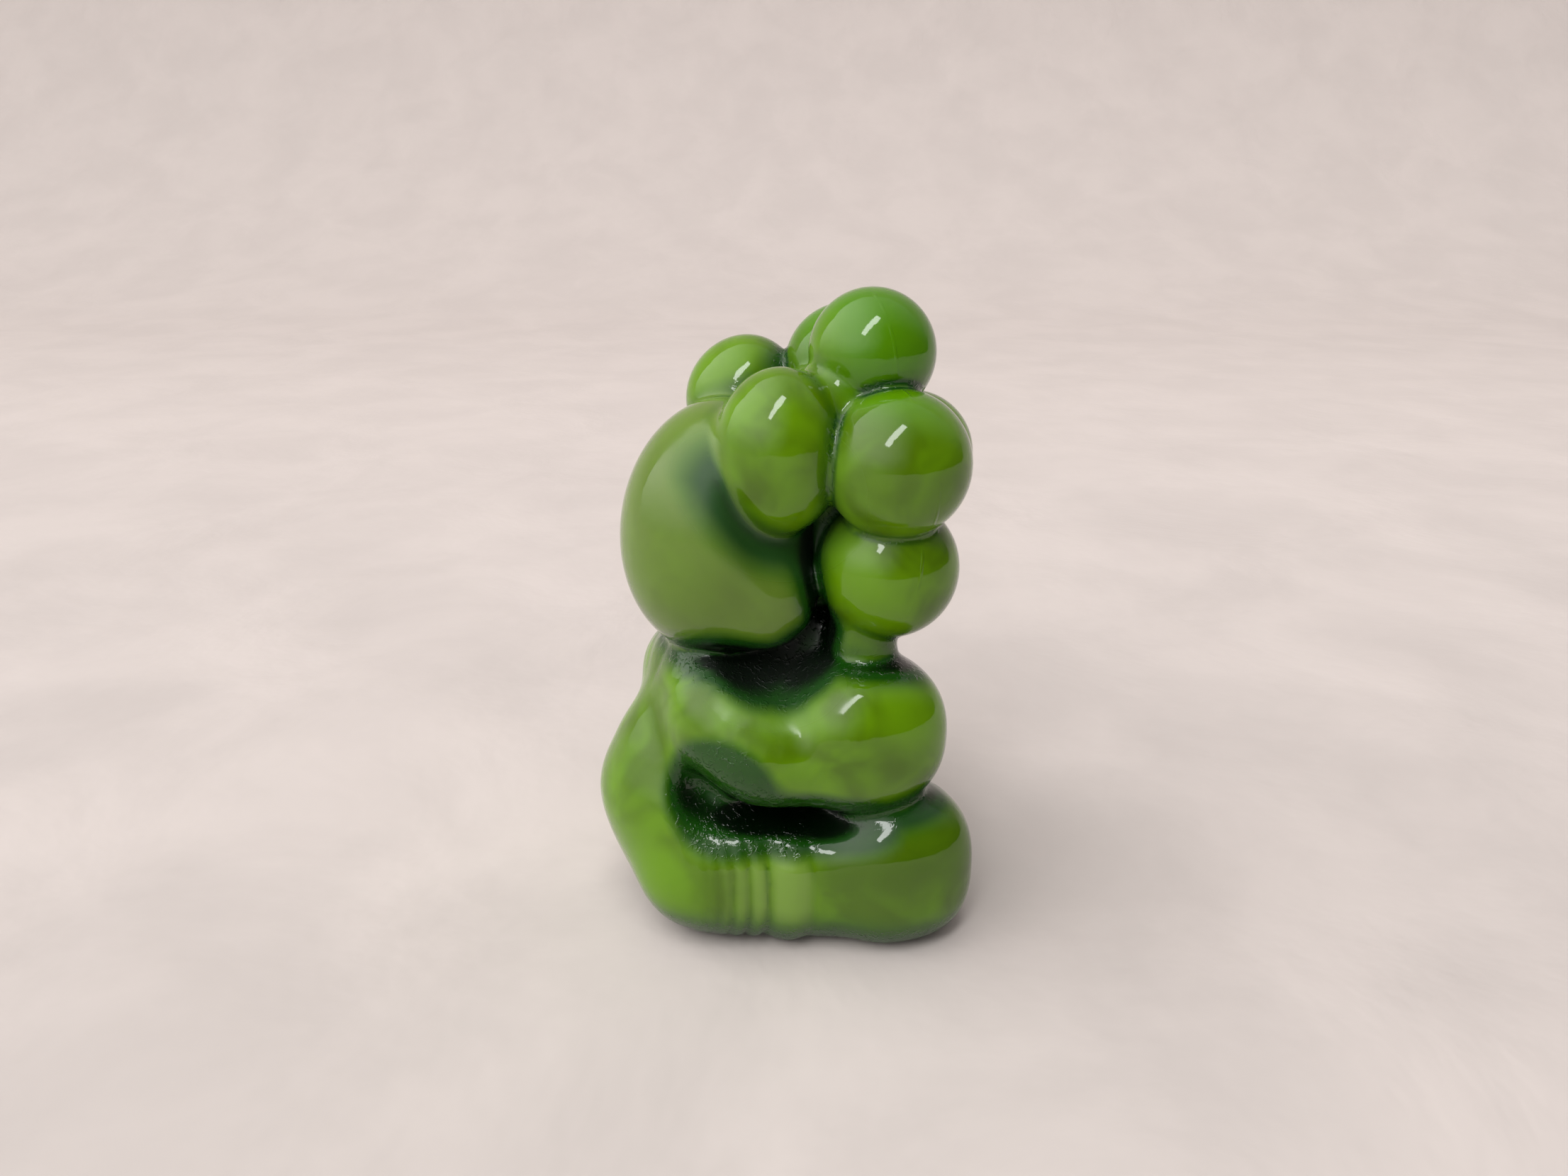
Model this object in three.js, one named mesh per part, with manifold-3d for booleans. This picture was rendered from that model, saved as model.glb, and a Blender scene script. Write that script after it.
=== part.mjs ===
// A seated glass bear that hugs a bunch of round balloons in front of its face.
// It is one cast piece of glass, so the model is one closed solid: rounded
// forms overlap, are joined, and are cut flat where the figure sits.
//
// Millimetres. +X is the way the bear faces, +Y is its left, +Z is up.
// The origin is on the ground under the middle of the figure.

import * as THREE from "three";
import { mergeVertices } from "three/addons/utils/BufferGeometryUtils.js";
import Module from "manifold-3d";

// Driving dimensions of the head
const headLength = 17.4;
const headWidth = 20.0;
const headHeight = 23.6;
const headReach = -6.2; // its centre, forward of the origin
const headLevel = 38.7;
const headNod = 8; // degrees, top forward
const cheekRadius = 4.9;
const cheekSpread = 4.0;
const cheekReach = 2.5; // from the head's centre
const cheekDrop = 5.6; // below the head's centre
const rightEarLength = 10.8; // an upright egg
const rightEarWidth = 11.0;
const rightEarHeight = 14.6;
const rightEarSpread = 6.2;
const rightEarReach = 4.2; // from the head's centre
const rightEarRise = 8.3; // above the head's centre
const leftEarRadius = 5.4; // a smaller ball that sits higher
const leftEarSpread = 7.5;
const leftEarReach = 4.4;
const leftEarRise = 10.7;

// Driving dimensions of the body
const bodyReach = -6.0; // where its upright axis stands
const bodyLength = 25.0;
const bodyWidth = 22.0;
const bellyLevel = 12.3;
const neckLength = 8.6;
const neckLevel = 29.5;
const seatLength = 12.0;
const shoulderRadius = 5.6;
const shoulderSpread = 4.2;
const shoulderLevel = 21.6;
const hipRadius = 6.2;
const hipSpread = 5.2;
const chestLength = 16.0; // the glass in front of the body, between arms and legs
const chestWidth = 13.0;
const chestHeight = 33.0;
const chestReach = 1.6;
const chestLevel = 15.6;
const chestBoxiness = 2.6;
const pocketHeight = 9.0; // the hollow at the waist between arm and leg
const pocketLength = 15.0;
const pocketDepth = 4.0;
const pocketLevel = 15.4;

// Driving dimensions of the limbs on one side
const pawLength = 15.4;
const pawWidth = 13.8;
const pawHeight = 14.6;
const pawSpread = 9.5;
const pawReach = 4.5;
const pawLevel = 20.8;
const pawBoxiness = 2.25;
const wristRadius = 4.1;
const footLength = 13.0;
const footWidth = 12.4;
const footHeight = 14.8;
const footSpread = 11.2;
const footReach = 7.9;
const footBoxiness = 2.4;
const ankleRadius = 4.55;
const ankleReach = -2.0;
const ankleSpread = 9.1;
const cuffLength = 8.0; // the ridged stretch above the foot
const cuffRidges = 4;
const cuffRidgeHeight = 0.25;

// The bunch: where its middle is, and each balloon's way from there and radius
const bunchReach = 7.2;
const bunchLevel = 45.0;
const balloons = [
  { name: "top right", forward: -0.4, left: -4.0, up: 9.4, radius: 5.6 },
  { name: "top left", forward: 0.0, left: 3.2, up: 7.2, radius: 5.8 },
  { name: "right", forward: -0.3, left: -10.0, up: 0.8, radius: 6.4 },
  { name: "left", forward: 0.2, left: 8.6, up: -0.2, radius: 6.3 },
  { name: "front", forward: 5.4, left: 0.0, up: -0.8, radius: 5.9 },
  { name: "low right", forward: 0.0, left: -8.0, up: -9.1, radius: 6.4 },
  { name: "low left", forward: 0.0, left: 7.8, up: -9.1, radius: 6.3 },
];
const bunchCoreWidth = 11.0; // the glass that fills the middle of the bunch
const bunchCoreHeight = 24.0;
const bunchCoreLength = 14.0;
const stemRadius = 2.9;
const stemSetBack = 2.4; // how far behind its balloon's middle a stem stands

// How finely the round forms are faceted
const skullDetail = 4;
const ballDetail = 3;
const smallDetail = 2;
const roundSegments = 24;
const limbSegments = 14;

// How far forms run into each other, and below the ground before the flat cut
const joinDepth = 2.0;
const groundCut = 0.4;
const groundSpan = 200; // wider than any figure that these sizes give
const groundDepth = 20;

const wasm = await Module();
wasm.setup();

const point = (x, y, z) => new THREE.Vector3(x, y, z);

/** A closed three.js geometry as a solid that can be joined and cut. */
function solid(geometry) {
  const bare = geometry.clone();
  bare.deleteAttribute("normal");
  bare.deleteAttribute("uv");
  const merged = mergeVertices(bare, 1e-4);
  return new wasm.Manifold(
    new wasm.Mesh({
      numProp: 3,
      vertProperties: new Float32Array(merged.attributes.position.array),
      triVerts: new Uint32Array(merged.index.array),
    }),
  );
}

/**
 * A ball stretched to three half-lengths. A boxiness over 2 fills out its
 * shoulders, and a nod in degrees tips its top forward.
 */
function blob(centre, halves, { detail = ballDetail, boxiness = 2, nod = 0 } = {}) {
  const geometry = new THREE.IcosahedronGeometry(1, detail);
  const position = geometry.attributes.position;
  const spot = new THREE.Vector3();
  for (let i = 0; i < position.count; i += 1) {
    spot.fromBufferAttribute(position, i);
    const powers = spot.toArray().map((v) => Math.abs(v) ** boxiness);
    spot.divideScalar((powers[0] + powers[1] + powers[2]) ** (1 / boxiness));
    position.setXYZ(i, spot.x, spot.y, spot.z);
  }
  geometry.scale(halves.x, halves.y, halves.z);
  geometry.rotateY(THREE.MathUtils.degToRad(nod));
  geometry.translate(centre.x, centre.y, centre.z);
  return solid(geometry);
}

/** A round section swept through stations, with a radius that runs smoothly between them. */
function limb(stations, steps, swell = () => 0) {
  const path = new THREE.CatmullRomCurve3(stations.map((s) => s.place));
  const radii = new THREE.CatmullRomCurve3(stations.map((s) => point(s.radius, 0, 0)));
  const frames = path.computeFrenetFrames(steps, false);
  const positions = [];
  const index = [];
  for (let step = 0; step <= steps; step += 1) {
    const along = path.getUtoTmapping(step / steps);
    const centre = path.getPoint(along);
    const radius = radii.getPoint(along).x + swell(centre);
    for (let side = 0; side < limbSegments; side += 1) {
      const angle = (side / limbSegments) * Math.PI * 2;
      const spot = centre
        .clone()
        .addScaledVector(frames.normals[step], Math.cos(angle) * radius)
        .addScaledVector(frames.binormals[step], Math.sin(angle) * radius);
      positions.push(spot.x, spot.y, spot.z);
    }
  }
  const corner = (step, side) => step * limbSegments + (side % limbSegments);
  for (let step = 0; step < steps; step += 1) {
    for (let side = 0; side < limbSegments; side += 1) {
      index.push(corner(step, side), corner(step, side + 1), corner(step + 1, side));
      index.push(corner(step, side + 1), corner(step + 1, side + 1), corner(step + 1, side));
    }
  }
  const startCap = positions.length / 3;
  positions.push(...path.getPoint(0).toArray(), ...path.getPoint(1).toArray());
  for (let side = 0; side < limbSegments; side += 1) {
    index.push(startCap, corner(0, side + 1), corner(0, side));
    index.push(startCap + 1, corner(steps, side), corner(steps, side + 1));
  }
  const geometry = new THREE.BufferGeometry();
  geometry.setAttribute("position", new THREE.Float32BufferAttribute(positions, 3));
  geometry.setIndex(index);
  return solid(geometry);
}

/** The head: a tall egg, two full cheeks low in front, and two ears. */
function head() {
  const skull = point(headLength / 2, headWidth / 2, headHeight / 2);
  const forms = [blob(point(headReach, 0, headLevel), skull, { detail: skullDetail, nod: headNod })];
  for (const side of [-1, 1]) {
    const cheek = point(headReach + cheekReach, side * cheekSpread, headLevel - cheekDrop);
    forms.push(blob(cheek, point(cheekRadius, cheekRadius, cheekRadius), { detail: smallDetail }));
  }
  const rightEar = point(headReach + rightEarReach, -rightEarSpread, headLevel + rightEarRise);
  const rightHalves = point(rightEarLength / 2, rightEarWidth / 2, rightEarHeight / 2);
  forms.push(blob(rightEar, rightHalves));
  const leftEar = point(headReach + leftEarReach, leftEarSpread, headLevel + leftEarRise);
  forms.push(blob(leftEar, point(leftEarRadius, leftEarRadius, leftEarRadius)));
  return forms;
}

/** The body: a pear turned about an upright axis and narrowed, with round shoulders. */
function body() {
  const half = bodyLength / 2;
  const upper = neckLevel - bellyLevel;
  const profile = new THREE.SplineCurve([
    new THREE.Vector2(seatLength / 2, -groundCut),
    new THREE.Vector2(half * 0.82, bellyLevel * 0.34),
    new THREE.Vector2(half, bellyLevel),
    new THREE.Vector2(half * 0.86, bellyLevel + upper * 0.34),
    new THREE.Vector2(half * 0.57, bellyLevel + upper * 0.67),
    new THREE.Vector2(neckLength / 2, neckLevel),
  ]);
  const outline = [new THREE.Vector2(0, -groundCut), ...profile.getPoints(14)];
  outline.push(new THREE.Vector2(0, neckLevel));
  const geometry = new THREE.LatheGeometry(outline, roundSegments);
  geometry.rotateX(Math.PI / 2);
  geometry.scale(1, bodyWidth / bodyLength, 1);
  geometry.translate(bodyReach, 0, 0);
  let form = solid(geometry);
  const chest = point(chestLength / 2, chestWidth / 2, chestHeight / 2);
  form = form.add(blob(point(chestReach, 0, chestLevel), chest, { boxiness: chestBoxiness }));
  for (const side of [-1, 1]) {
    const shoulder = point(bodyReach + 0.4, side * shoulderSpread, shoulderLevel);
    const hip = point(bodyReach - 4.2, side * hipSpread, hipRadius - groundCut);
    const details = { detail: smallDetail };
    form = form.add(blob(shoulder, point(shoulderRadius, shoulderRadius, shoulderRadius), details));
    form = form.add(blob(hip, point(hipRadius, hipRadius, hipRadius), details));
  }
  for (const side of [-1, 1]) {
    const pocket = point(bodyReach, (side * (bodyWidth + pocketDepth)) / 2, pocketLevel);
    const room = point(pocketLength / 2, pocketDepth + 1.5, pocketHeight / 2);
    form = form.subtract(blob(pocket, room, { detail: smallDetail }));
  }
  return form;
}

/** One arm with its paw, and one leg with its foot. The side is -1 for the right. */
function limbs(side) {
  const at = (x, y, z) => point(x, side * y, z);
  const wrist = pawReach - pawLength / 2 - 1.8;
  const arm = limb(
    [
      { place: at(bodyReach + 0.4, shoulderSpread - 1.0, shoulderLevel + 1.2), radius: wristRadius + 0.3 },
      { place: at(wrist - 3.0, pawSpread - 2.4, shoulderLevel + 0.3), radius: wristRadius - 0.1 },
      { place: at(wrist, pawSpread + 0.1, pawLevel - 1.2), radius: wristRadius },
      { place: at(pawReach - 3.4, pawSpread, pawLevel - 0.6), radius: wristRadius + 1.1 },
    ],
    10,
  );
  const paw = blob(
    at(pawReach, pawSpread, pawLevel),
    point(pawLength / 2, pawWidth / 2, pawHeight / 2),
    { boxiness: pawBoxiness },
  );
  const heelOfHand = blob(
    at(pawReach - pawLength * 0.29, pawSpread, pawLevel - 0.6),
    point(pawLength * 0.4, pawWidth * 0.41, pawHeight * 0.4),
    { detail: smallDetail },
  );
  const ankleLevel = ankleRadius - groundCut;
  const pitch = cuffLength / cuffRidges;
  const cuff = (spot) => {
    const behind = ankleReach + 1 - spot.x;
    const inCuff = behind > 0 && behind < cuffLength;
    return inCuff ? cuffRidgeHeight * (0.5 - 0.5 * Math.cos((behind / pitch) * Math.PI * 2)) : 0;
  };
  const leg = limb(
    [
      { place: at(bodyReach - 4.2, hipSpread - 0.6, ankleLevel + 1.0), radius: ankleRadius + 0.9 },
      { place: at(ankleReach - 5.0, ankleSpread - 1.8, ankleLevel + 0.4), radius: ankleRadius + 0.4 },
      { place: at(ankleReach - 2.2, ankleSpread - 0.7, ankleLevel), radius: ankleRadius },
      { place: at(ankleReach + 1.6, ankleSpread + 0.3, ankleLevel + 0.1), radius: ankleRadius + 0.1 },
      { place: at(footReach - 4.4, footSpread - 1.1, ankleLevel + 1.3), radius: ankleRadius + 1.3 },
      { place: at(footReach, footSpread, footHeight / 2 - groundCut), radius: ankleRadius + 1.0 },
    ],
    26,
    cuff,
  );
  const foot = blob(
    at(footReach, footSpread, footHeight / 2 - groundCut),
    point(footLength / 2, footWidth / 2, footHeight / 2),
    { boxiness: footBoxiness },
  );
  return [arm, paw, heelOfHand, leg, foot];
}

/** The balloons, and the two gathered stems that stand on the paws. */
function bunch() {
  const core = point(bunchCoreLength / 2, bunchCoreWidth / 2, bunchCoreHeight / 2);
  const forms = [blob(point(bunchReach - bunchCoreLength / 4, 0, bunchLevel - 4.0), core)];
  for (const { name, forward, left, up, radius } of balloons) {
    const centre = point(bunchReach + forward, left, bunchLevel + up);
    forms.push(blob(centre, point(radius, radius, radius)));
    if (name.startsWith("low")) {
      const bottom = pawLevel + pawHeight / 2 - joinDepth;
      const top = centre.z - radius + joinDepth;
      const stem = new THREE.CylinderGeometry(stemRadius, stemRadius, top - bottom, limbSegments);
      stem.rotateX(Math.PI / 2);
      stem.translate(centre.x - stemSetBack, centre.y, (top + bottom) / 2);
      forms.push(solid(stem));
    }
  }
  return forms;
}

let whole = body();
for (const form of [...head(), ...limbs(-1), ...limbs(1), ...bunch()]) {
  whole = whole.add(form);
}
const ground = new THREE.BoxGeometry(groundSpan, groundSpan, groundDepth);
ground.translate(0, 0, -groundDepth / 2);
whole = whole.subtract(solid(ground));

const joined = whole.getMesh();
const geometry = new THREE.BufferGeometry();
geometry.setAttribute("position", new THREE.Float32BufferAttribute(joined.vertProperties, 3));
geometry.setIndex(Array.from(joined.triVerts));
geometry.computeVertexNormals();

const greenGlass = new THREE.MeshStandardMaterial({ color: 0x7fae3c, roughness: 0.08, metalness: 0 });
const bear = new THREE.Mesh(geometry, greenGlass);
bear.name = "glass_bear";

const figurine = new THREE.Group();
figurine.add(bear);
export default figurine;
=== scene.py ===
# %% [markdown]
# A seated glass bear that hugs a bunch of round balloons in front of its face.
# The real figurine is one cast piece of green slag glass, about 60 mm tall, so
# this lesson makes one piece. The CAD solid gives its true size, and the glass
# made here takes its place. It is the same set of rounded forms, but melted
# together at their seams as a mould leaves them.

# %% Load the frame and keep the CAD box
import math

import bpy
import numpy as np
import openvdb
from mathutils import Matrix, Vector


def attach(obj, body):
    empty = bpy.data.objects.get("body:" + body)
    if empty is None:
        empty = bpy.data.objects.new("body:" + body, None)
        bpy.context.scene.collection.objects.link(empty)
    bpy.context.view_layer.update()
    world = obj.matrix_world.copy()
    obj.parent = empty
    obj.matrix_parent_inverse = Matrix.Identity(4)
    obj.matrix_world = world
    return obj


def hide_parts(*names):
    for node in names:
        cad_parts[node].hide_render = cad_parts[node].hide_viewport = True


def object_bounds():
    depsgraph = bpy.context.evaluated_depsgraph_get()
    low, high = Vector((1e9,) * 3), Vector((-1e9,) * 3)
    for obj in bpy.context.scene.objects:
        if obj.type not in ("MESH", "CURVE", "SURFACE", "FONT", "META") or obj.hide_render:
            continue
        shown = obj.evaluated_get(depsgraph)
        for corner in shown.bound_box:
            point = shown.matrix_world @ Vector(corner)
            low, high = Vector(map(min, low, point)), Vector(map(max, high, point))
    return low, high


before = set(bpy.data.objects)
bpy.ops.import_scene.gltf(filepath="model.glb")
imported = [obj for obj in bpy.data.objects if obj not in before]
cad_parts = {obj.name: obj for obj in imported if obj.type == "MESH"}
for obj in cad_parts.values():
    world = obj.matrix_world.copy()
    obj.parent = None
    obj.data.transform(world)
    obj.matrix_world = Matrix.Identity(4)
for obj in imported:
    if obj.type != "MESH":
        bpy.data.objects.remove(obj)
cad_box = [list(corner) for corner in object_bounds()]


def in_millimetres(box):
    """A box in metres, rounded for printing in millimetres."""
    return [[round(value * 1000, 2) for value in corner] for corner in box]


print("CAD box in mm:", in_millimetres(cad_box))

# %% [markdown]
# The photograph looks down at the bear's right side from a little behind it.
# The camera's place was worked out from the height of the figure and the width
# of the lens: 18 degrees round towards the back, 20 degrees up, 108 mm away. It
# comes first, so that everything after it can be judged in the right view.

# %% The camera
CAMERA_BEHIND = math.radians(18.0)
CAMERA_UP = math.radians(20.0)
CAMERA_DISTANCE = 0.108257
CAMERA_TARGET = Vector((0.0, 0.0, 0.031878))

camera_data = bpy.data.cameras.new("camera")
camera_data.sensor_fit = "HORIZONTAL"
camera_data.sensor_width = 36.0
camera_data.lens = 26.0
camera_data.clip_start = 0.002
camera = bpy.data.objects.new("camera", camera_data)
bpy.context.scene.collection.objects.link(camera)
towards_camera = Vector((
    -math.sin(CAMERA_BEHIND) * math.cos(CAMERA_UP),
    -math.cos(CAMERA_BEHIND) * math.cos(CAMERA_UP),
    math.sin(CAMERA_UP),
))
camera.location = CAMERA_TARGET + CAMERA_DISTANCE * towards_camera
camera.rotation_euler = (-towards_camera).to_track_quat("-Z", "Y").to_euler()
bpy.context.scene.camera = camera
print("camera in mm:", [round(value * 1000, 1) for value in camera.location])

# %% [markdown]
# Glass that has flowed into a mould has no sharp joints. A mesh of separate
# balls would show a hard line wherever two meet, and a bevel can't follow such
# lines. A distance function can: each form says how far any point is from its
# skin, and a smooth minimum melts two forms with a fillet of a chosen size.
# All of these work in millimetres on an array of points, one row a point.

# %% Balls and eggs as distances
def ball(points, centre, radius):
    return np.linalg.norm(points - np.float32(centre), axis=-1) - radius


def egg(points, centre, halves, nod=0.0, boxiness=2.0):
    """A stretched ball. Boxiness over 2 fills its shoulders, and nod tips its top forward."""
    turn = math.radians(nod)
    away = points - np.float32(centre)
    ahead = away[:, 0] * math.cos(turn) - away[:, 2] * math.sin(turn)
    above = away[:, 0] * math.sin(turn) + away[:, 2] * math.cos(turn)
    local = np.stack([ahead, away[:, 1], above], axis=-1)
    halves = np.float32(halves)
    scaled = np.maximum(np.abs(local / halves), 1e-4)
    reach = (scaled ** boxiness).sum(-1) ** (1 / boxiness)
    slope = scaled ** (boxiness - 1) * (reach ** (1 - boxiness))[:, None] / halves
    return (reach - 1) / np.linalg.norm(slope, axis=-1)


far_point = np.float32([[8.0, 0.0, 0.0]])
print("from 8 mm out to a ball of 5 mm:", ball(far_point, (0, 0, 0), 5.0)[0], "mm")
print("from 8 mm out to an egg of 6 mm:", egg(far_point, (0, 0, 0), (6.0, 5.0, 5.0))[0], "mm")

# %% [markdown]
# A limb changes its thickness along a bent line. The line passes smoothly
# through a few stations, each a place and a radius, and the limb is a chain of
# short straight pieces on it. Only the half above the line can be flattened,
# because the bear's legs have a broad top and a round underside.

# %% Limbs as distances
def along(stations, steps):
    """Points on a smooth line through the stations."""
    stations = np.array(stations, dtype=np.float64)
    first = 2 * stations[0] - stations[1]
    last = 2 * stations[-1] - stations[-2]
    padded = np.vstack([first, stations, last])
    result = []
    for step in range(steps + 1):
        whole = step / steps * (len(stations) - 1)
        index = min(int(whole), len(stations) - 2)
        part = whole - index
        before, start, end, after = padded[index:index + 4]
        straight = 2 * start + (end - before) * part
        bent = (2 * before - 5 * start + 4 * end - after) * part ** 2
        curled = (3 * start - before - 3 * end + after) * part ** 3
        result.append((straight + bent + curled) / 2)
    return np.array(result)


def tube(points, stations, steps, squareness=2.0, tall=1.0):
    """A limb through the stations. Squareness over 2 flattens its top."""
    path = along(stations, steps)
    nearest = None
    for start, end in zip(path[:-1], path[1:]):
        run = np.float32(end[:3] - start[:3])
        away = points - np.float32(start[:3])
        share = np.clip(away @ run / float(run @ run), 0, 1)
        radius = start[3] + (end[3] - start[3]) * share
        rest = away - share[:, None] * run
        sideways = np.hypot(rest[:, 0], rest[:, 1])
        power = np.where(rest[:, 2] > 0, np.float32(squareness), np.float32(2.0))
        reach = (sideways ** power + np.abs(rest[:, 2] / tall) ** power) ** (1 / power)
        distance = reach - radius
        nearest = distance if nearest is None else np.minimum(nearest, distance)
    return nearest


halfway = along(((0, 0, 0, 4), (0, 0, 10, 5)), 2)[1]
print("halfway up a limb of 4 to 5 mm:", halfway[3], "mm")

# %% [markdown]
# Two forms are joined by taking the smaller of their distances. Where the two
# are nearly alike, a little is taken off as well, which fills the corner with
# a fillet. A room is cut in the same way, with the inside turned out. The third
# helper turns any measure into a share between 0 and 1.

# %% Melting, hollowing and shares
def melt(first, second, fillet):
    """Joins two forms with a fillet of about the given size."""
    overlap = np.maximum(fillet - np.abs(first - second), 0) / fillet
    return np.minimum(first, second) - overlap ** 3 * fillet / 6


def hollow(form, room, fillet):
    """Takes a room out of a form, with a rounded lip."""
    return -melt(-form, room, fillet)


def ramp(values, nought, one):
    """The share of the way from the first value, where it is 0, to the second, where it is 1."""
    return np.clip((values - nought) / (one - nought), 0, 1)


print("two skins that cross, melted by 3 mm:", melt(np.zeros(1), np.zeros(1), 3.0)[0], "mm")

# %% [markdown]
# The head is a tall egg that nods forward, with full cheeks low in front. The
# near ear is an upright egg, and the far one is rounder and sits higher. In the
# photograph the head sinks into a soft valley around the near ear, so the skull
# is hollowed there on both sides, and the ears join it with a narrow fillet.
# The sizes are the CAD part's own, in millimetres.

# %% The head and ears
HEAD = (-6.5, 0.0, 38.7)
HEAD_NOD = 11.0
HEAD_HALVES = (8.7, 10.0, 11.8)
CHEEK = (HEAD[0] + 2.9, 5.0, HEAD[2] - 5.4)
CHEEK_RADIUS = 4.9
VALLEY = (-1.2, 10.9, 45.2)
VALLEY_HALVES = (7.3, 4.4, 9.6)
RIGHT_EAR = (-2.3, -6.1, 46.7)
RIGHT_EAR_HALVES = (5.6, 5.6, 7.2)
LEFT_EAR = (-1.8, 7.5, 49.4)
LEFT_EAR_HALVES = (5.1, 5.4, 5.7)
LEFT_EAR_NOD = 40.0


def skull(points, mirrored):
    form = egg(points, HEAD, HEAD_HALVES, nod=HEAD_NOD)
    form = hollow(form, egg(mirrored, VALLEY, VALLEY_HALVES), fillet=4.0)
    return melt(form, ball(mirrored, CHEEK, CHEEK_RADIUS), fillet=3.0)


def ears(points):
    right = egg(points, RIGHT_EAR, RIGHT_EAR_HALVES)
    left = egg(points, LEFT_EAR, LEFT_EAR_HALVES, nod=LEFT_EAR_NOD)
    return np.minimum(right, left)


def head(points, mirrored):
    return melt(skull(points, mirrored), ears(points), fillet=1.8)


print("top of the far ear in mm:", LEFT_EAR[2] + LEFT_EAR_HALVES[2])

# %% [markdown]
# The body is a pear on an upright axis. Its outline is a turned profile, a
# radius at each height, flattened a little from side to side. Balls round off
# its shoulders and hips, and the glass in front of it, between arms and legs,
# is one boxy lump. Two pairs of rooms are cut later: the waists open the gap
# between arm and leg, and the notches sink the glass between shoulder, paw
# and cheek.

# %% The body
BODY_X = -6.0
BODY_FLATTENING = 22.0 / 25.0
PROFILE_HEIGHTS = (-0.4, 4.2, 12.3, 18.1, 23.8, 29.5)
PROFILE_RADII = (5.6, 9.9, 12.5, 10.7, 7.1, 4.3)
PROFILE_STEPS = 60
CHEST = (1.6, 0.0, 15.6)
CHEST_HALVES = (8.0, 6.5, 16.5)
SHOULDER = (BODY_X + 0.6, 4.4, 21.8)
SHOULDER_RADIUS = 5.7
HIP = (BODY_X - 3.6, 5.0, 6.9)
HIP_RADIUS = 6.4


def body(points, mirrored):
    stations = [(radius, 0, height, 0) for height, radius in zip(PROFILE_HEIGHTS, PROFILE_RADII)]
    profile = along(stations, PROFILE_STEPS)
    radius = np.interp(points[:, 2], profile[:, 2], profile[:, 0])
    slope = np.interp(points[:, 2], profile[:, 2], np.gradient(profile[:, 0], profile[:, 2]))
    round_about = np.hypot(points[:, 0] - BODY_X, points[:, 1] / BODY_FLATTENING)
    form = (round_about - radius) / np.sqrt(1 + slope ** 2)
    form = np.maximum(form, points[:, 2] - PROFILE_HEIGHTS[-1])
    form = melt(form, egg(points, CHEST, CHEST_HALVES, boxiness=2.6), fillet=2.0)
    form = melt(form, ball(mirrored, SHOULDER, SHOULDER_RADIUS), fillet=4.0)
    return melt(form, ball(mirrored, HIP, HIP_RADIUS), fillet=3.0)


def waists(mirrored):
    """The rooms between arm and leg, one on each side."""
    back = egg(mirrored, (-10.2, 13.4, 16.8), (4.4, 7.4, 5.2), nod=-12.0)
    front = egg(mirrored, (-3.0, 13.0, 14.0), (9.0, 6.6, 2.6))
    return melt(back, front, fillet=3.0)


def notches(mirrored):
    """The rooms between shoulder, paw and cheek, one on each side."""
    return egg(mirrored, (-4.4, 9.4, 31.6), (5.4, 6.6, 6.2))


print("widest part of the body in mm:", 2 * max(PROFILE_RADII))

# %% [markdown]
# Arms and legs are thick limbs that grow out of the body without a seam, so
# they melt in widely. Both sides are alike, so they are worked out once on
# points folded over the middle plane. Paws and feet are big and a little boxy.
# Each leg swells in rolls above the foot, narrow at the back and one wide roll
# in front, as the photograph shows.

# %% Arms and legs
PAW = (4.5, 9.5, 20.8)
PAW_HALVES = (7.7, 6.9, 7.3)
FOOT = (7.9, 11.0, 7.1)
FOOT_HALVES = (6.6, 6.1, 7.3)
ROLLS = (
    (-12.0, -10.9, 0.16),
    (-10.9, -9.9, 0.2),
    (-9.9, -8.7, 0.26),
    (-8.7, -7.2, 0.3),
    (-7.2, -5.5, 0.34),
    (-5.5, -1.6, 0.45),
)
ROLLS_FADE = (12.5, 9.5)


def rolls(points):
    """How far the rolls above the foot stand out, in millimetres."""
    rise = np.zeros(len(points), dtype=np.float32)
    for start, end, proud in ROLLS:
        share = ramp(points[:, 0], start, end)
        rise = rise + proud * np.maximum(np.sin(share * math.pi), 0)
    return rise * ramp(points[:, 2], *ROLLS_FADE)


def arms(mirrored):
    form = tube(mirrored, (
        (-8.0, 3.2, 24.2, 4.2),
        (-7.6, 6.3, 22.2, 4.9),
        (-4.8, 8.7, 19.9, 5.0),
        (0.8, 9.3, 19.4, 5.3),
    ), steps=12)
    form = melt(form, egg(mirrored, PAW, PAW_HALVES, boxiness=2.3), fillet=1.8)
    stem = tube(mirrored, ((5.0, 7.9, 26.1, 3.3), (5.0, 7.9, 31.5, 3.0)), steps=1)
    return melt(form, stem, fillet=1.4)


def legs(points, mirrored):
    form = tube(mirrored, (
        (BODY_X - 3.4, 4.4, 6.6, 5.5),
        (-7.0, 6.4, 6.2, 5.4),
        (-4.2, 7.4, 6.0, 5.4),
        (-0.4, 8.7, 5.8, 5.5),
        (3.7, 10.0, 6.0, 5.6),
        (7.9, 11.0, 6.8, 5.8),
    ), steps=18, squareness=3.2, tall=1.12)
    form = form - rolls(points)
    return melt(form, egg(mirrored, FOOT, FOOT_HALVES, boxiness=2.6), fillet=3.5)


print("rolls on each leg:", len(ROLLS))

# %% [markdown]
# The bunch is seven balloons around a core of glass, and a lump of glass ties
# it to the near ear. Each balloon touches its neighbours along a crisp, narrow
# crease, so the fillets here are small. The two low ones stand on the paws, on
# the short stems that were made with the arms.

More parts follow.
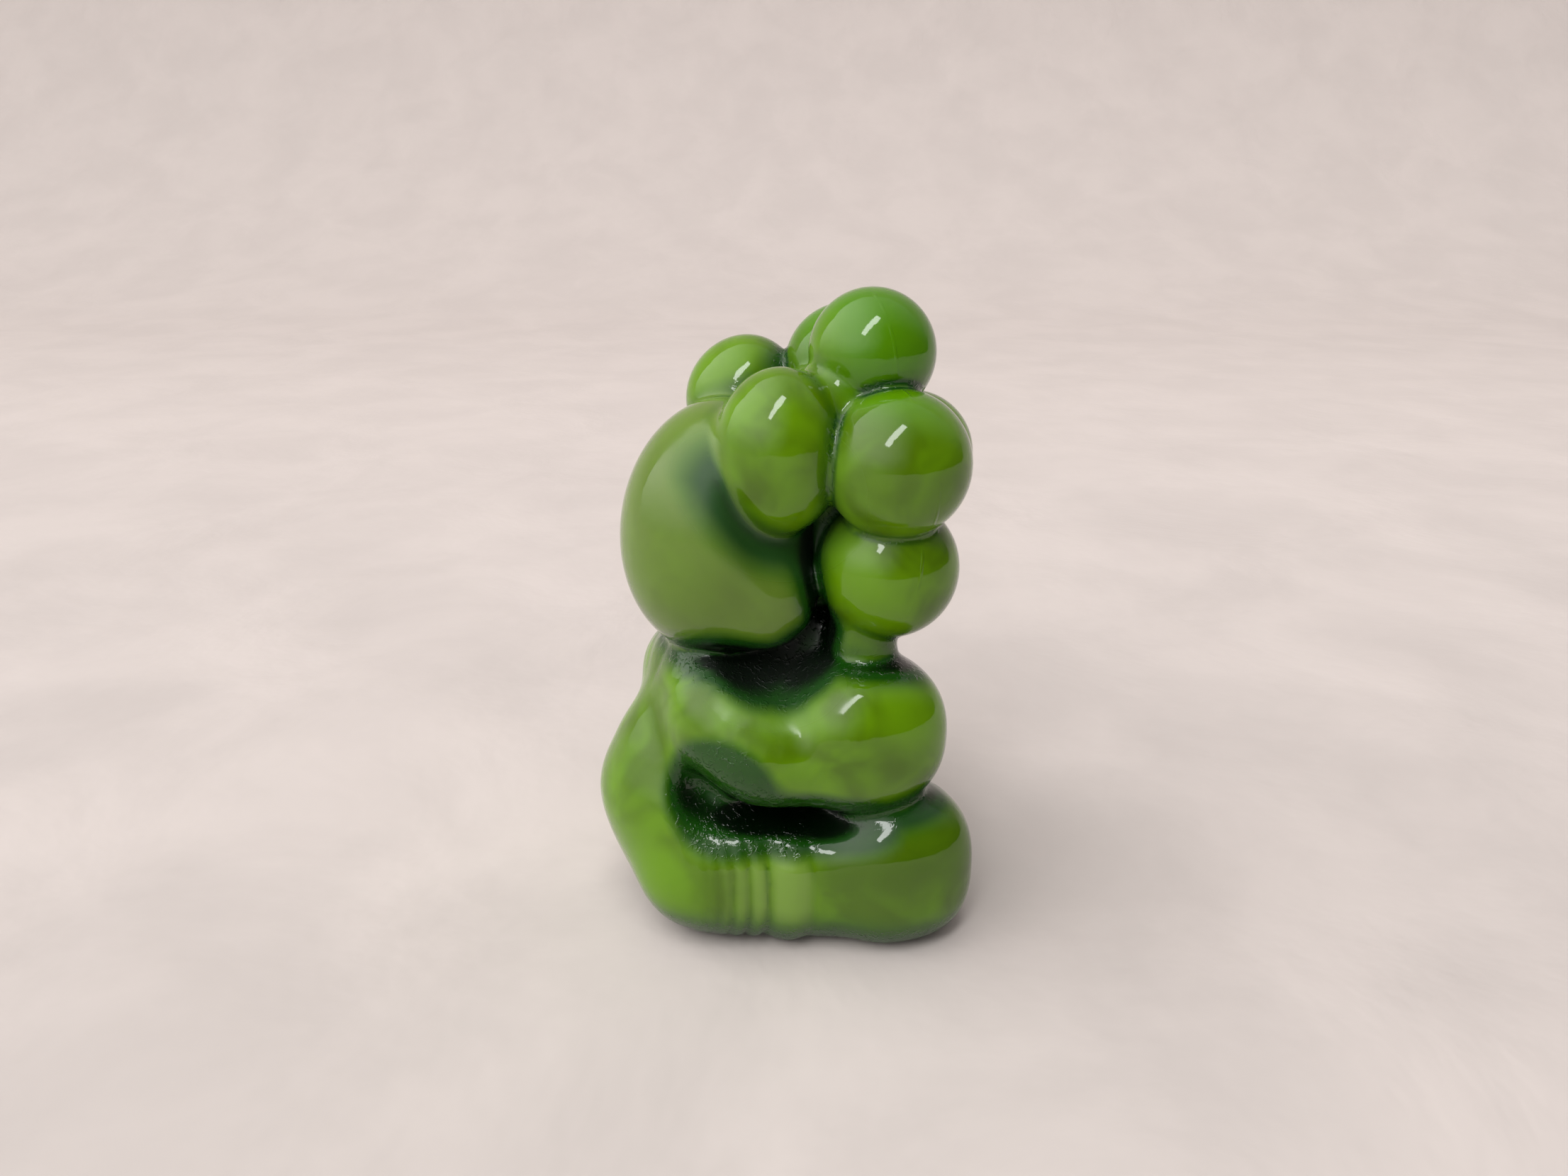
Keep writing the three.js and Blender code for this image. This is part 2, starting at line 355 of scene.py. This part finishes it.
# %% The bunch of balloons
BUNCH = (7.2, 0.0, 45.0)
BALLOONS = (
    (-0.4, -4.0, 9.4, 5.6),
    (0.0, 3.2, 7.2, 5.8),
    (-0.3, -10.0, 0.8, 6.4),
    (0.2, 8.6, -0.2, 6.3),
    (5.4, 0.0, -0.8, 5.9),
    (0.0, -8.0, -9.1, 6.4),
    (0.0, 7.8, -9.1, 6.3),
)
CORE = (3.7, 0.0, 41.0)
CORE_HALVES = (7.0, 5.5, 12.0)
EAR_TIE = (2.8, -4.4, 49.2)
EAR_TIE_RADIUS = 4.6


def bunch(points):
    form = egg(points, CORE, CORE_HALVES)
    form = melt(form, ball(points, EAR_TIE, EAR_TIE_RADIUS), fillet=2.0)
    for ahead, left, above, radius in BALLOONS:
        centre = (BUNCH[0] + ahead, BUNCH[1] + left, BUNCH[2] + above)
        form = melt(form, ball(points, centre, radius), fillet=1.0)
    return form


print("top of the bunch in mm:", max(BUNCH[2] + above + radius for _, _, above, radius in BALLOONS))

# %% [markdown]
# The order in which the forms are joined matters. The waists are cut before
# the arms are put on, so that the arms pass over them whole. The notches are
# cut after that, because they sink into the root of the arm as well. The whole
# figure is cut off flat where it stands.

# %% The whole figure
def folded(points):
    """The points, and the same points folded over the middle plane."""
    points = np.asarray(points, dtype=np.float32)
    mirrored = points.copy()
    mirrored[:, 1] = np.abs(points[:, 1])
    return points, mirrored


def bear(points, with_ears=True):
    points, mirrored = folded(points)
    form = hollow(body(points, mirrored), waists(mirrored), fillet=3.0)
    form = melt(form, arms(mirrored), fillet=3.5)
    form = hollow(form, notches(mirrored), fillet=2.5)
    form = melt(form, legs(points, mirrored), fillet=3.0)
    return melt(form, head(points, mirrored) if with_ears else skull(points, mirrored), fillet=1.4)


def figure(points):
    """The distance from each point to the skin of the figure, in millimetres."""
    form = melt(bear(points), bunch(folded(points)[0]), fillet=1.2)
    return np.maximum(form, -np.asarray(points, dtype=np.float32)[:, 2])


print("depth inside the head in mm:", round(float(-figure([HEAD])[0]), 1))

# %% [markdown]
# A distance function becomes a mesh on a grid of small cells. OpenVDB, which
# comes with Blender, finds the quads where the distance is nought. Every corner
# is then moved along the slope until it lies on the true skin, which takes out
# the grid's own ripple. The base is kept flat, because the bear stands on it.

# %% Sample the distance on a grid
CELL = 0.36
MARGIN = 1.5
LAYERS_AT_ONCE = 16

lowest = np.array(cad_box[0]) * 1000
highest = np.array(cad_box[1]) * 1000
grid_start = lowest - MARGIN
grid_end = highest + MARGIN
axes = [np.arange(grid_start[i], grid_end[i], CELL, dtype=np.float32) for i in range(3)]
grid = np.empty([len(axis) for axis in axes], dtype=np.float32)
for layer in range(0, len(axes[2]), LAYERS_AT_ONCE):
    layers = slice(layer, layer + LAYERS_AT_ONCE)
    part = np.meshgrid(axes[0], axes[1], axes[2][layers], indexing="ij")
    spots = np.stack(part, axis=-1).reshape(-1, 3)
    grid[:, :, layers] = figure(spots).reshape(part[0].shape)
print("grid:", grid.shape)

# %% Turn the grid into quads
volume = openvdb.FloatGrid(float(CELL * 3))
volume.copyFromArray(grid)
corners, quads = volume.convertToQuads(isovalue=0.0)
corners = corners * CELL + grid_start


def slopes(points, step=0.05):
    """The outward direction of the skin at each point."""
    result = np.empty(points.shape)
    for axis in range(3):
        shift = np.zeros(3)
        shift[axis] = step
        result[:, axis] = figure(points + shift) - figure(points - shift)
    return result / np.maximum(np.linalg.norm(result, axis=-1), 1e-9)[:, None]


outward = slopes(corners)
for repeat in range(2):
    corners = corners - np.clip(figure(corners), -CELL, CELL)[:, None] * outward
corners = np.clip(corners, lowest, highest)
print("corners:", len(corners), "quads:", len(quads))

# %% [markdown]
# Light can't reach into the gaps between the forms, so the glass there is painted with shade, bottle
# green to black. How closed in each spot is comes from the same distance function: step away from the
# skin, and in a gap the skin stays close. The balloons stay bright up to where they meet, so on them a
# gap counts for less painted shade. Each measure is a share from 0 to 1 that is kept on the mesh, so the
# material can use it from any side.

# %% How closed in each spot is, as a share of painted shade
GAP_STEPS = ((1.8, 0.15), (3.6, 0.25), (6.5, 0.3), (10.0, 0.3))

outward = slopes(corners)
points, mirrored = folded(corners)
x_place = corners[:, 0]
z_place = corners[:, 2]
on_bunch = ramp(bear(points) - bunch(points), -0.8, 0.8)
on_ears = ramp(ears(points), 0.8, 0.0)
# Painted shade: the share of how closed in each spot is, which darkens the glass colour.
painted_shade_share = np.zeros(len(corners))
for step, weight in GAP_STEPS:
    away = corners + outward * step
    above_floor = 0.5 * step + 0.5 * np.maximum(away[:, 2], 0)
    closed = ramp(np.minimum(figure(away), above_floor), step, 0.0)
    closed_by_bear = ramp(bear(away, with_ears=False), step, 0.0)
    closed_on_bunch = np.maximum(0.25 * closed, 0.35 * closed_by_bear)
    closed = closed + (closed_on_bunch - closed) * on_bunch
    painted_shade_share += weight * closed * (1 - 0.5 * on_ears)
print("depth share, middle and top:", np.round(np.percentile(painted_shade_share, (50, 99)), 2))

# %% [markdown]
# Some places get more painted shade than that measure gives. The waists and notches are wide rooms, yet
# they are painted deep green out to their lips, and so is the valley around the ears. Balloons meet in
# thin lines of painted shade. The lowest glass gets a painted shadow towards the paper, and less so at
# the toes.

# %% Painted shade at the lips, the ear valley, the crease lines and the lowest glass
CREASE_STEP = 0.9

head_share = ramp(skull(points, mirrored), 1.2, 0.0)
off_head = (1 - on_bunch) * (1 - head_share)
room_lip_shade = ramp(np.minimum(waists(mirrored), notches(mirrored)), 1.95, 0.45) * off_head
by_ear = ramp(ears(points), 5.4, 0.0) * ramp(z_place, 50.0, 45.0)
ear_valley_shade = by_ear * (1 - on_bunch) * (1 - on_ears)
crease_shade = ramp(ramp(figure(corners + outward * CREASE_STEP), CREASE_STEP, 0.0), 0.15, 0.65)
floor_shadow = ramp(z_place, 4.2, 0.0) * np.maximum(ramp(x_place, 10.0, 7.0), 0.4)
# Each of these is painted shade: the room lips, the ear valley, the thin crease lines, and a painted
# shadow near the floor.
for share, depth in ((room_lip_shade, 0.45), (ear_valley_shade, 0.78), (crease_shade, 0.6), (floor_shadow, 0.62)):
    painted_shade_share = np.maximum(painted_shade_share, depth * share)
print("depth share, middle and top:", np.round(np.percentile(painted_shade_share, (50, 99)), 2))

# %% [markdown]
# The head is mixed towards a greyer green. The rolls above the foot get painted light, which makes them
# pale, and the top of the foot gets painted shade, which makes it olive. The lip over the shoulder and
# the valley around the ears are duller than the rest, so they mirror the lights less.

# %% Shares of the head, the painted light on the rolls, the painted shade on the foot, and dullness
on_legs = ramp(legs(points, mirrored), 0.6, 0.0)
# Painted light on the rolls above the foot, which makes them pale.
roll_light_share = ramp(rolls(points), 0.0, 0.24) * on_legs
# Painted shade on the top front of the foot, which turns it olive.
foot_shade_share = on_legs * ramp(x_place, -2.2, -0.2) * ramp(z_place, 4.0, 9.0)
shoulder_lip = ramp(notches(mirrored), 3.75, 1.25) * off_head * ramp(x_place, 2.5, 1.5)
dull_share = np.maximum(shoulder_lip, ramp(by_ear, 0.0, 0.5) * (1 - on_ears))
print("duller than half:", round(float(np.mean(dull_share > 0.5)) * 100, 1), "% of the corners")

# %% [markdown]
# Bear and balloons were cast in one mould, so the mesh is one piece, and it
# takes the place of the one solid. The shares are kept on its corners as
# attributes. The quads have to look outwards, or the glass is inside out where
# it is used later. The volume they enclose shows it: it comes out positive only
# when they do.

# %% The piece of glass
first, second, third, fourth = (corners[quads[:, place]] for place in range(4))
enclosed = (first * (np.cross(second, third) + np.cross(third, fourth))).sum() / 6
print("volume in cubic mm:", round(float(enclosed)))
mesh = bpy.data.meshes.new("cast_glass")
mesh.from_pydata((corners / 1000).tolist(), [], quads.tolist())
mesh.update()
mesh.polygons.foreach_set("use_smooth", [True] * len(mesh.polygons))
# Of these shares, the gap share is painted shade, the roll share painted light and the foot share
# painted shade.
shares = {
    "painted_shade": painted_shade_share,
    "head_share": head_share,
    "roll_light_share": roll_light_share,
    "foot_shade_share": foot_shade_share,
    "dull_share": dull_share,
}
for name, values in shares.items():
    store = mesh.attributes.new(name, "FLOAT", "POINT")
    store.data.foreach_set("value", values.astype(np.float32))
cast_glass = bpy.data.objects.new("cast_glass", mesh)
bpy.context.scene.collection.objects.link(cast_glass)
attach(cast_glass, "root")
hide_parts("glass_bear")
print("triangles:", 2 * len(mesh.polygons))

# %% [markdown]
# Shader maths reads best as plain expressions. One small class wraps a socket,
# and each operator on it adds the Math node that does the work. Every other
# node comes from one method of the node sheet, which takes the node's type, its
# settings, and the values or links of its sockets.

# %% A socket that can be added and multiplied
class Value:
    def __init__(self, sheet, socket):
        self.sheet = sheet
        self.socket = socket

    def math(self, operation, first, second=0.0):
        return self.sheet.node("ShaderNodeMath", {"operation": operation}, {0: first, 1: second})[0]

    def __add__(self, other):
        return self.math("ADD", self, other)

    def __radd__(self, other):
        return self.math("ADD", other, self)

    def __sub__(self, other):
        return self.math("SUBTRACT", self, other)

    def __rsub__(self, other):
        return self.math("SUBTRACT", other, self)

    def __mul__(self, other):
        return self.math("MULTIPLY", self, other)

    def __rmul__(self, other):
        return self.math("MULTIPLY", other, self)

    def minimum(self, other):
        return self.math("MINIMUM", self, other)

    def absolute(self):
        return self.math("ABSOLUTE", self)

    def smooth(self, nought, one):
        """A soft step from 0 at the first value to 1 at the second."""
        return self.sheet.node("ShaderNodeMapRange", {"interpolation_type": "SMOOTHSTEP"}, {
            "Value": self, "From Min": nought, "From Max": one,
        })["Result"]


print("sockets can now be added, subtracted and multiplied")

# %% Any other node, by its type, settings and sockets
class Outputs:
    def __init__(self, sheet, node):
        self.sheet = sheet
        self.raw = node

    def __getitem__(self, name):
        return Value(self.sheet, self.raw.outputs[name])


class Sheet:
    """The node sheet of one material or world."""

    def __init__(self, tree):
        self.tree = tree

    def node(self, kind, settings=None, sockets=None):
        node = self.tree.nodes.new(kind)
        for name, setting in (settings or {}).items():
            setattr(node, name, setting)
        for name, item in (sockets or {}).items():
            if isinstance(item, Value):
                self.tree.links.new(item.socket, node.inputs[name])
            else:
                node.inputs[name].default_value = item
        return Outputs(self, node)

    def mix(self, share, first, second):
        """A colour between two others. A Mix node keeps its colours on sockets 6 and 7."""
        return self.node("ShaderNodeMix", {"data_type": "RGBA"}, {0: share, 6: first, 7: second})[2]

    def noise(self, place, scale, distortion, detail=2.0, roughness=0.5):
        return self.node("ShaderNodeTexNoise", {}, {
            "Vector": place, "Scale": scale, "Detail": detail,
            "Roughness": roughness, "Distortion": distortion,
        })["Fac"]


def new_material(name):
    material = bpy.data.materials.new(name)
    material.use_nodes = True
    material.node_tree.nodes.clear()
    return material, Sheet(material.node_tree)


print("methods of a sheet:", [name for name in vars(Sheet) if not name.startswith("__")])

# %% [markdown]
# The glass is opaque slag glass: lime green on every swelling and olive where a streak of deeper colour
# runs, and the head is mixed towards a greyer green. Painted light and shade come on top: painted shade
# makes the gaps bottle green to black and the top of the foot olive, and painted light makes the rolls
# above the foot pale. The streaks are noise measured in millimetres, so they keep their size, and the
# rest follows the shares that the mesh carries.

# %% Where each spot of the glass is
glass_material, glass = new_material("slag_glass")
place = glass.node("ShaderNodeTexCoord")["Object"]
in_mm = glass.node("ShaderNodeVectorMath", {"operation": "SCALE"}, {0: place, "Scale": 1000.0})["Vector"]
axis_places = glass.node("ShaderNodeSeparateXYZ", {}, {"Vector": in_mm})
ahead = axis_places["X"]
above = axis_places["Z"]


def kept_share(name):
    """A share that the mesh carries."""
    return glass.node("ShaderNodeAttribute", {"attribute_name": name})["Fac"]


# The gap share darkens the colour below as painted shade; the roll share is painted light and the foot
# share painted shade.
gap = kept_share("painted_shade")
on_head = kept_share("head_share")
lit_rolls = kept_share("roll_light_share")
shaded_foot = kept_share("foot_shade_share")
dull = kept_share("dull_share")
print("shares on the mesh:", list(shares))

# %% Its colours
LIME = (0.112, 0.25, 0.0015, 1)
FRESH = (0.07, 0.21, 0.001, 1)
OLIVE = (0.066, 0.14, 0.001, 1)
SAGE = (0.115, 0.19, 0.026, 1)
# Pale painted light for the rolls above the foot.
PAINTED_ROLL_LIGHT = (0.17, 0.29, 0.045, 1)
# Olive painted shade for the top of the foot.
FOOT_SHADE_OLIVE = (0.05, 0.11, 0.001, 1)
# These three greens are painted shade, from the shallow gaps to the deepest.
SHADE_DEEP_GREEN = (0.035, 0.115, 0.004, 1)
SHADE_BOTTLE_GREEN = (0.007, 0.055, 0.003, 1)
SHADE_BLACK_GREEN = (0.0008, 0.005, 0.001, 1)

broad = glass.noise(in_mm, scale=0.07, distortion=0.5)
streak = glass.noise(in_mm, scale=0.16, distortion=0.9)
top_balloons = above.smooth(48.0, 54.0) * ahead.smooth(0.0, 4.0)
colour = glass.mix((0.6 * broad + 0.4 * streak).smooth(0.44, 0.62), LIME, OLIVE)
colour = glass.mix(top_balloons, colour, FRESH)
colour = glass.mix(0.75 * on_head, colour, SAGE)
# Painted shade: the top of the foot goes olive.
colour = glass.mix(0.75 * shaded_foot, colour, FOOT_SHADE_OLIVE)
# Painted light: the rolls above the foot go pale.
colour = glass.mix(0.8 * lit_rolls, colour, PAINTED_ROLL_LIGHT)
# Painted shade: the gaps go deep green, then bottle green, then nearly black.
colour = glass.mix(0.6 * gap.smooth(0.08, 0.3), colour, SHADE_DEEP_GREEN)
colour = glass.mix(gap.smooth(0.2, 0.5), colour, SHADE_BOTTLE_GREEN)
colour = glass.mix(gap.smooth(0.55, 0.85), colour, SHADE_BLACK_GREEN)
print("colour nodes:", len(glass_material.node_tree.nodes))

# %% [markdown]
# The skin is fire polished, so it is smooth and mirror clear with faint
# ripples. In the gaps it is finely wrinkled and catches small sparks of light.
# A thin seam, where the mould halves met, leans forward up to the middle of the
# bunch and back again above it, and is worn away in places.

# %% Its skin
ripple = glass.noise(in_mm, scale=0.5, distortion=0.4)
wrinkle = glass.noise(in_mm, scale=1.7, distortion=1.0).smooth(0.5, 0.8)
wrinkled = gap.smooth(0.22, 0.45) * (1.0 - on_head) * (1.0 - shaded_foot)
seam_rising = 2.8 + 0.225 * (above - 16.0)
seam_falling = 7.8 - 0.13 * (above - 46.0)
from_seam = (ahead - seam_rising.minimum(seam_falling)).absolute()
seam_left = streak.smooth(0.4, 0.6) * above.smooth(28.0, 32.0) * (1.0 - gap.smooth(0.1, 0.3))
seam = (1.0 - from_seam.smooth(0.04, 0.2)) * seam_left
relief = 0.03 * ripple + 0.07 * wrinkle * wrinkled + 0.05 * seam
bump = glass.node("ShaderNodeBump", {}, {"Height": relief, "Strength": 1.0, "Distance": 0.001})["Normal"]
glass_shader = glass.node("ShaderNodeBsdfPrincipled", {}, {
    "Base Color": colour, "Roughness": 0.06 + 0.46 * dull, "IOR": 1.47, "Normal": bump,
    "Subsurface Weight": 0.18, "Subsurface Radius": (0.9, 1.6, 0.25), "Subsurface Scale": 0.0015,
})["BSDF"]
glass.node("ShaderNodeOutputMaterial", {}, {"Surface": glass_shader})
cast_glass.data.materials.append(glass_material)
print("glass nodes:", len(glass_material.node_tree.nodes))

# %% [markdown]
# The bear sits on a sheet of pale, faintly crumpled paper that rises behind it.
# The paper is painted a little darker near the camera, a painted shade where less light falls. It is
# turned to face the camera and is only a stage, so it isn't exported.

# %% Paper
paper_material, paper = new_material("pale_paper")
spot = paper.node("ShaderNodeTexCoord")["Object"]
crumple = paper.noise(spot, scale=28.0, distortion=0.3, detail=5.0, roughness=0.55)
creasing = paper.node("ShaderNodeBump", {}, {"Height": crumple, "Strength": 0.25, "Distance": 0.004})
backward = paper.node("ShaderNodeSeparateXYZ", {}, {"Vector": spot})["Y"]
# Painted shade: the paper goes darker towards the camera.
tone = paper.mix(backward.smooth(-0.1, 0.3), (0.52, 0.475, 0.455, 1), (0.64, 0.58, 0.555, 1))
tone = paper.mix(crumple.smooth(0.3, 0.7) * 0.35, tone, (0.75, 0.68, 0.65, 1))
paper_shader = paper.node("ShaderNodeBsdfPrincipled", {}, {
    "Base Color": tone, "Roughness": 0.75, "Normal": creasing["Normal"], "Specular IOR Level": 0.2,
})["BSDF"]
paper.node("ShaderNodeOutputMaterial", {}, {"Surface": paper_shader})
print("paper nodes:", len(paper_material.node_tree.nodes))

# %% The sweep of paper
HALF_WIDTH = 1.6
FRONT = -1.2
BEND_START = 0.45
BEND_RADIUS = 0.35
BEND_STEPS = 16
WALL_TOP = 1.4
UNDER_THE_BEAR = 0.00005

sheet_line = [(FRONT, 0.0), (BEND_START, 0.0)]
for step in range(1, BEND_STEPS + 1):
    angle = math.radians(step / BEND_STEPS * 90)
    rise = BEND_RADIUS * (1 - math.cos(angle))
    sheet_line.append((BEND_START + BEND_RADIUS * math.sin(angle), rise))
sheet_line.append((BEND_START + BEND_RADIUS, WALL_TOP))
sheet_corners = [(x, y, z) for y, z in sheet_line for x in (-HALF_WIDTH, HALF_WIDTH)]
sheet_faces = [(2 * i, 2 * i + 1, 2 * i + 3, 2 * i + 2) for i in range(len(sheet_line) - 1)]
paper_mesh = bpy.data.meshes.new("paper_sweep")
paper_mesh.from_pydata(sheet_corners, [], sheet_faces)
paper_mesh.polygons.foreach_set("use_smooth", [True] * len(paper_mesh.polygons))
paper_sweep = bpy.data.objects.new("paper_sweep", paper_mesh)
paper_sweep.data.materials.append(paper_material)
bpy.context.scene.collection.objects.link(paper_sweep)
paper_sweep.location.z = -UNDER_THE_BEAR
paper_sweep.rotation_euler.z = -CAMERA_BEHIND
print("paper faces:", len(sheet_faces))

# %% [markdown]
# The highlights in the photograph are short slanted bars, so the main light is
# a narrow bar above the camera, turned to rise to the right. The Standard view
# transform keeps the greens as full as the photograph has them.

# %% The bar of light
BAR_PLACE = (-0.26, -0.47, 0.86)
BAR_AIM = Vector((0, 0, 0.03))
BAR_TURN = math.radians(58.0)

bar_data = bpy.data.lights.new("bar_light", "AREA")
bar_data.shape = "RECTANGLE"
bar_data.size = 0.72
bar_data.size_y = 0.15
bar_data.energy = 3.8
bar_light = bpy.data.objects.new("bar_light", bar_data)
bpy.context.scene.collection.objects.link(bar_light)
aim = (BAR_AIM - Vector(BAR_PLACE)).to_track_quat("-Z", "Y").to_matrix().to_4x4()
bar_light.matrix_world = Matrix.Translation(BAR_PLACE) @ aim @ Matrix.Rotation(BAR_TURN, 4, "Z")
bpy.context.scene.view_settings.view_transform = "Standard"
print("bar light:", bar_data.size, "by", bar_data.size_y, "m")

# %% [markdown]
# The rest of the light is the room itself, as the world: dim where the glass
# mirrors it, and pale where the camera looks past the bear. A wide glow on the
# left, weaker towards the floor so that no edge shows in the head, gives the
# pale side of every swelling. A weaker one stands high up beyond the bear.

# %% The room
world = bpy.data.worlds.new("room")
bpy.context.scene.world = world
world.use_nodes = True
world.node_tree.nodes.clear()
room = Sheet(world.node_tree)
way = room.node("ShaderNodeTexCoord")["Generated"]


def soft_glow(direction, start, strength):
    """A patch of light without edges, far away in one direction."""
    towards = room.node("ShaderNodeVectorMath", {"operation": "DOT_PRODUCT"}, {0: way, 1: direction})
    return towards["Value"].smooth(start, 1.0) * strength


upward = room.node("ShaderNodeSeparateXYZ", {}, {"Vector": way})["Z"].smooth(-0.1, 0.5)
left_glow = soft_glow((-0.92, 0.06, 0.36), 0.0, 2.3) * (0.25 + 0.75 * upward)
glow = left_glow + soft_glow((0.15, 0.60, 0.78), 0.1, 0.6) + 0.05
seen = room.node("ShaderNodeLightPath")["Is Camera Ray"]
brightness = glow + (0.56 - glow) * seen
air = room.node("ShaderNodeBackground", {}, {"Color": (1.0, 0.97, 0.95, 1), "Strength": brightness})
room.node("ShaderNodeOutputWorld", {}, {"Surface": air["Background"]})
print("room nodes:", len(world.node_tree.nodes))

# %% [markdown]
